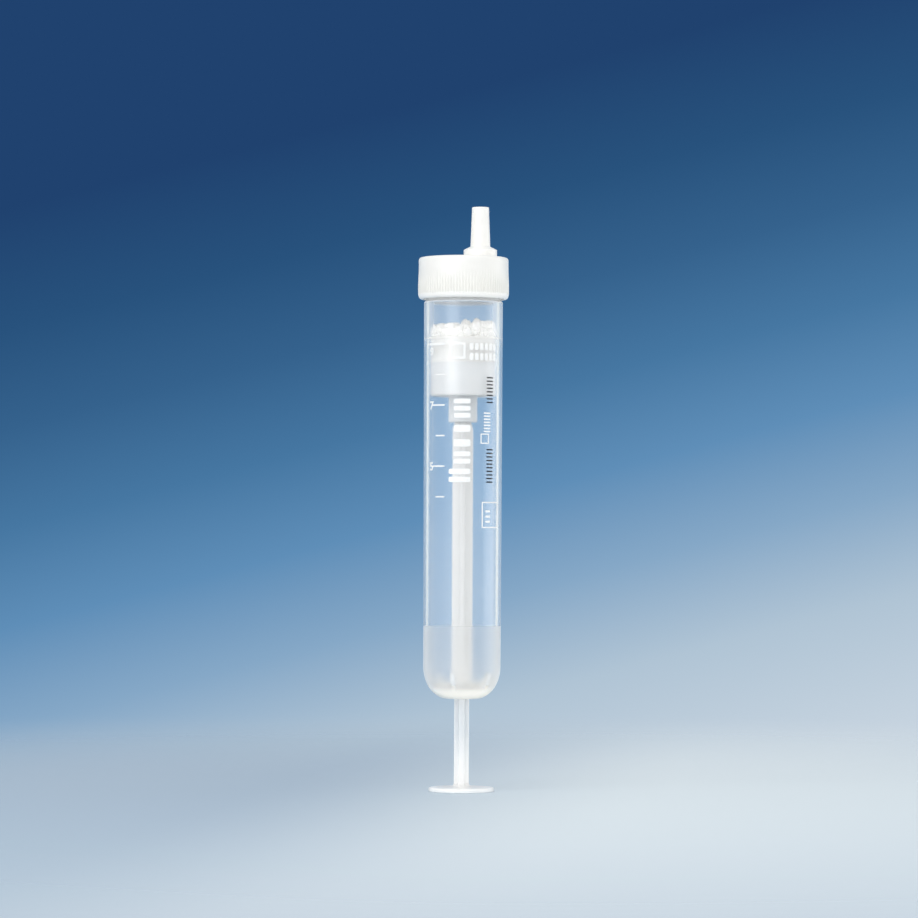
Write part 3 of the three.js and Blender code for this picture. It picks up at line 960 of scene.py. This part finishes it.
# %% The other plastics
def moulded(name, dense, thin, roughness, glow, cloud=260.0, deep=1.2 * MM, feet=(),
            shadow=1.0, inner=0.0):
    """Opaque or milky plastic, cloudy between two near colours. Light enters it to the
    depth `deep`. Feet are more colours, each with the two heights between which it takes
    over downwards. Shadow is how much of a lamp's light the piece holds back. Inner is a
    faint painted glow, in place of the light that small pieces pass on to each other."""
    paint = Paint(name)
    colour = paint.blend(paint.cloud(cloud), dense, thin)
    for foot, low, high in feet:
        colour = paint.blend(paint.height().fall(low, high), colour, foot)
    skin = paint.plastic(
        Base_Color=colour, Roughness=roughness + 0.08 * paint.noise(700.0),
        IOR=1.5, **scatter(glow, deep),
        Emission_Color=dense, Emission_Strength=inner, Normal=paint.skin())
    return paint.show(skin if shadow == 1.0 else paint.lamps_through(skin, shadow))


def rod_plastic():
    """White plastic with painted shading along the blades: lightest at the disc, darker up
    the shaft towards the tube's base as painted shade, and lighter again inside the tube
    as painted light.
    """
    paint = Paint("rod_plastic")
    height = paint.height()
    shaft = height.step(3 * MM, 14 * MM)
    cloudy = paint.cloud(400.0)
    disc_colour = paint.blend(cloudy, srgb(253, 253, 252), srgb(249, 250, 250))
    # Painted light: the blades are lighter near the disc.
    foot_painted_light = paint.blend(cloudy, srgb(241, 241, 240), srgb(237, 237, 237))
    foot_painted_light = paint.blend(height.step(1.15 * MM, 1.6 * MM), foot_painted_light, disc_colour)
    # Painted shade: the shaft outside the tube is darker.
    shaft_painted_shading = paint.blend(cloudy, srgb(225, 228, 231), srgb(220, 224, 227))
    gloss, skin = 0.36 + 0.08 * paint.noise(700.0), paint.skin()
    # Painted light: the shaft inside the tube is lighter.
    shaft_painted_shading = paint.blend(
        height.step(STEP_LOW - 1.2 * MM, STEP_LOW + 0.2 * MM), shaft_painted_shading, srgb(243, 244, 244))
    blades = paint.plastic(
        Base_Color=paint.blend(shaft, foot_painted_light, shaft_painted_shading), Roughness=gloss, IOR=1.5,
        **scatter(1.0, 2.2 * MM), Normal=skin)
    disc = paint.plastic(Base_Color=disc_colour, Roughness=gloss, IOR=1.5, Normal=skin)
    return paint.show(paint.mix(height.step(0.8 * MM, 1.0 * MM), disc, blades))


def piston_plastic():
    """Milky plastic, denser in the solid head than in the skirt and hub. A faint painted
    glow in its upper part stands in for the light that the beads above pass down to it."""
    paint = Paint("milky_plastic")
    height = paint.height()
    head = height.step(HEAD_BOTTOM - 0.2 * MM, HEAD_BOTTOM + 0.2 * MM)
    hub = height.fall(SKIRT_BOTTOM - 0.3 * MM, SKIRT_BOTTOM + 0.3 * MM)
    cloudy = paint.cloud(330.0)
    skirt_colour = paint.blend(cloudy, srgb(243, 245, 246), srgb(238, 241, 243))
    colour = paint.blend(head, skirt_colour, srgb(254, 254, 251))
    colour = paint.blend(hub, colour, srgb(230, 234, 237))
    # Painted glow in the upper part of the piston.
    upper = height.step(SKIRT_BOTTOM + 1.3 * MM, SKIRT_BOTTOM + 5.3 * MM)
    return paint.show(paint.plastic(
        Base_Color=colour, Roughness=0.34 + 0.1 * cloudy, IOR=1.5, **scatter(0.35, 1.6 * MM),
        Emission_Color=paint.blend(upper, srgb(0, 0, 0), colour), Emission_Strength=0.055,
        Normal=paint.skin(4200.0, 0.3)))


def ink(name, colour, worn):
    """Printed ink: nearly one colour, with a slightly uneven coat."""
    paint = Paint(name)
    coat = paint.noise(3000.0).step(0.35, 0.75)
    return paint.show(paint.plastic(
        Base_Color=paint.blend(coat, colour, worn), Roughness=0.45 + 0.1 * coat, IOR=1.45))


finishes = {
    tube: clear_plastic(),
    # Painted shade: the cap darkens down its knurled skirt; painted light: its bottom rim is
    # brighter.
    cap: moulded("white_plastic", srgb(248, 248, 245), srgb(244, 244, 241), 0.33, 0.2,
                 feet=[(srgb(238, 238, 233), 103.5 * MM, 108.5 * MM),
                       (srgb(255, 255, 252), 102.55 * MM, 103.05 * MM)]),
    piston: piston_plastic(),
    rod: rod_plastic(),
    print_white: ink("white_ink", srgb(252, 253, 253), srgb(240, 244, 246)),
    print_black: ink("black_ink", srgb(28, 32, 38), srgb(44, 48, 54)),
}
# The beads' faint glow is painted light.
bead_finish = moulded("bead_plastic", srgb(255, 254, 251), srgb(251, 251, 248), 0.5, 0.6,
                      900.0, 0.8 * MM, shadow=0.1, inner=0.1)
finishes.update({bead: bead_finish for bead in [*beads, crumbs]})
finishes.update({number: finishes[print_white] for number in numbers})
for piece, material in finishes.items():
    piece.data.materials.clear()
    piece.data.materials.append(material)
print("materials on", len(finishes), "pieces")

# %% [markdown]
# ## Floor and surroundings
# The floor is pale, with painted light that makes it a little paler to the right, and
# melts into a backdrop that goes from pale below to a soft blue above.
# The world makes the backdrop, for rays from the camera and rays seen through or mirrored
# by the object, while its light on the object stays an even soft white.

# %% The floor
FLOOR_SIZE = 0.36
FLOOR_SOLID, FLOOR_GONE = 0.03, 0.34


def make_floor():
    """A round sheet that faces up, turns clear outwards, and has painted light that makes
    it paler to the right.
    """
    rows, columns = 12, 96
    rings = rings_of(np.linspace(0.01, FLOOR_SIZE, rows), np.zeros(rows), columns)
    points = np.concatenate([rings.reshape(-1, 3), [[0, 0, 0]]])
    faces = ring_faces(rows, columns, False)[:, ::-1].tolist()
    faces += pole_faces(rows, columns)[:columns, ::-1].tolist()
    floor = piece_from("floor", points, faces)
    paint = Paint("floor")
    place = paint.place()
    far = paint.node("VectorMath", {"operation": "LENGTH"}, [place], output="Value")
    away = far.step(FLOOR_SOLID, FLOOR_GONE)
    across, back = paint.parts(place, "XY")
    # Painted light: the sheet is paler to the right.
    to_right = (across - 0.15 * back).step(-0.045, 0.042)
    colour = paint.blend(to_right, srgb(173, 192, 210), srgb(225, 236, 242))
    sheet = paint.plastic(Base_Color=colour, Roughness=0.7)
    floor.data.materials.append(paint.show(paint.mix(away, sheet, paint.clear())))
    return floor


floor = make_floor()


# %% The world
BACKDROP = [
    (-0.085, srgb(199, 212, 224)), (-0.048, srgb(176, 196, 213)), (-0.020, srgb(134, 168, 199)),
    (0.007, srgb(95, 142, 184)), (0.034, srgb(70, 119, 162)), (0.061, srgb(53, 98, 141)),
    (0.088, srgb(40, 82, 125)), (0.120, srgb(32, 66, 111)),
]
BACKDROP_SLANT = 0.27
BESIDE = srgb(113, 166, 211)
BESIDE_SHARE = 0.85
ROOM_LIGHT = (1.0, 0.995, 0.985, 1.0)
ROOM_STRENGTH = 0.78
MIRRORED_ROOM = 0.3


def make_world():
    """The height of a ray's unit direction runs through a ramp of colours, on a slight
    slant. Rays that were bent, or mirrored to the back, see the paler BESIDE mixed in.
    Rays that have met a dull surface see the room, and rays mirrored to the front a
    dimmer one."""
    world = bpy.data.worlds.new("studio")
    bpy.context.scene.world = world
    sky = Paint("studio", world)
    direction = sky.node("TexCoord", output="Generated")
    across, back, up = sky.parts(direction)
    up = up - BACKDROP_SLANT * across * back
    low, high = BACKDROP[0][0], BACKDROP[-1][0]
    span = sky.node("MapRange", {}, {"Value": up, "From Min": low, "From Max": high})
    ramp = sky.raw("ValToRGB", {}, [span])
    stops = ramp.color_ramp.elements
    for rise, _ in BACKDROP[1:-1]:
        stops.new((rise - low) / (high - low))
    for stop, (_, colour) in zip(stops, BACKDROP):
        stop.color = colour
    backdrop = Value(sky, ramp.outputs[0])
    straight, bent, glossy, dull = (
        sky.node("LightPath", output=name)
        for name in ("Is Camera Ray", "Is Transmission Ray", "Is Glossy Ray", "Diffuse Depth"))
    mirrored = glossy * (1 - bent)
    beside = bent.math("MAXIMUM", mirrored) * BESIDE_SHARE
    seen = sky.node("Background", {}, [sky.blend(beside, backdrop, BESIDE)])
    strength = ROOM_STRENGTH + (MIRRORED_ROOM - ROOM_STRENGTH) * mirrored
    light = sky.node("Background", {}, [ROOM_LIGHT, strength])
    open_view = straight.math("MAXIMUM", bent).math("MAXIMUM", mirrored * back.step(0.1, 0.6))
    open_view = open_view * (1 - dull.math("MINIMUM", 1.0))
    sky.raw("OutputWorld", {}, [sky.mix(open_view, light, seen)])


make_world()

# %% [markdown]
# ## Light and camera
# Broad soft boxes light the dull surfaces. The tube's long highlights come from lamps
# that show only in gloss, and the pale lines at its sides from two narrow warm strips
# behind it, which show only through clear plastic. The camera stands level with the
# tube's lower half, far enough away that the sides stay parallel.

# %% Soft boxes
MIDDLE = np.array([0.0, 0.0, 0.062])
LAMPS_AWAY = 0.8


def soft_box(name, azimuth, height, size, brightness, shows_in, tint=EVEN, away=LAMPS_AWAY):
    """A rectangle of light that faces MIDDLE. Azimuth is counted from the front, to the
    right. A flat lamp's power is its brightness times pi times its area."""
    lamp = bpy.data.lights.new(name, "AREA")
    lamp.shape = "RECTANGLE"
    lamp.size, lamp.size_y = size
    lamp.energy = brightness * math.pi * size[0] * size[1]
    lamp.color = tint
    turn = math.radians(azimuth)
    place = MIDDLE + np.array([away * math.sin(turn), -away * math.cos(turn), height])
    box = placed(name, lamp)
    box.location = place
    to_middle = MIDDLE - place
    flat = math.hypot(to_middle[0], to_middle[1])
    box.rotation_euler = (math.pi / 2 + math.atan2(to_middle[2], flat), 0.0,
                          math.atan2(to_middle[1], to_middle[0]) - math.pi / 2)
    box.visible_diffuse = "dull" in shows_in
    box.visible_glossy = "gloss" in shows_in
    box.visible_transmission = "clear" in shows_in
    print(f"{name}: {lamp.energy:.1f} W, shows in {shows_in}")


soft_box("box_left", -42, 0.56, (0.70, 0.80), 1.42, "dull gloss clear")
soft_box("box_right", 92, 0.10, (0.80, 1.1), 0.30, "dull gloss")
soft_box("box_above", 30, 0.70, (0.80, 0.7), 0.45, "dull gloss clear")
soft_box("box_front", -5, 0.05, (0.60, 0.3), 1.6, "dull")
soft_box("strip_left", -142, 0.25, (0.15, 0.8), 1.37, "clear", (1.0, 0.88, 0.58))
soft_box("strip_right", 139, 0.10, (0.18, 1.1), 1.06, "clear", (1.0, 0.84, 0.52))


def glint(name, azimuth, height, tall, layers):
    """A highlight with soft sides: strips of different (width, brightness), one in front
    of another, which add up in the middle."""
    for i, (wide, brightness) in enumerate(layers):
        nearer = LAMPS_AWAY - 0.01 - 0.005 * i
        soft_box(f"{name}_{i}", azimuth, height, (wide, tall), brightness, "gloss", away=nearer)


glint("glint_left", -32, 0.12, 0.16, [(0.84, 0.8), (0.64, 1.0), (0.46, 1.1), (0.26, 0.9)])
glint("glint_left_low", -32, -0.05, 0.14, [(0.84, 0.5), (0.5, 0.7)])
glint("glint_right_low", 86, -0.03, 0.11, [(0.66, 1.5), (0.36, 1.2)])
glint("glint_right_high", 97, 0.12, 0.18, [(0.66, 0.9), (0.38, 0.8)])

# %% The camera
CAMERA_DISTANCE = 0.761
EYE_HEIGHT = 0.053
AIM_HEIGHT = 0.0687
ASIDE = -0.00071
FIELD = 0.1901
LEAN = -0.26


def make_camera():
    """The lens is the one that shows FIELD metres across at the tube's distance."""
    data = bpy.data.cameras.new("camera")
    data.sensor_width = 36.0
    data.lens = data.sensor_width * CAMERA_DISTANCE / FIELD
    data.clip_start = 0.01
    camera = placed("camera", data)
    camera.location = (ASIDE, -CAMERA_DISTANCE, EYE_HEIGHT)
    up = math.atan2(AIM_HEIGHT - EYE_HEIGHT, CAMERA_DISTANCE)
    camera.rotation_mode = "XYZ"
    camera.rotation_euler = (math.pi / 2 + up, math.radians(LEAN), 0.0)
    bpy.context.scene.camera = camera


make_camera()
bpy.context.scene.view_settings.view_transform = "Standard"
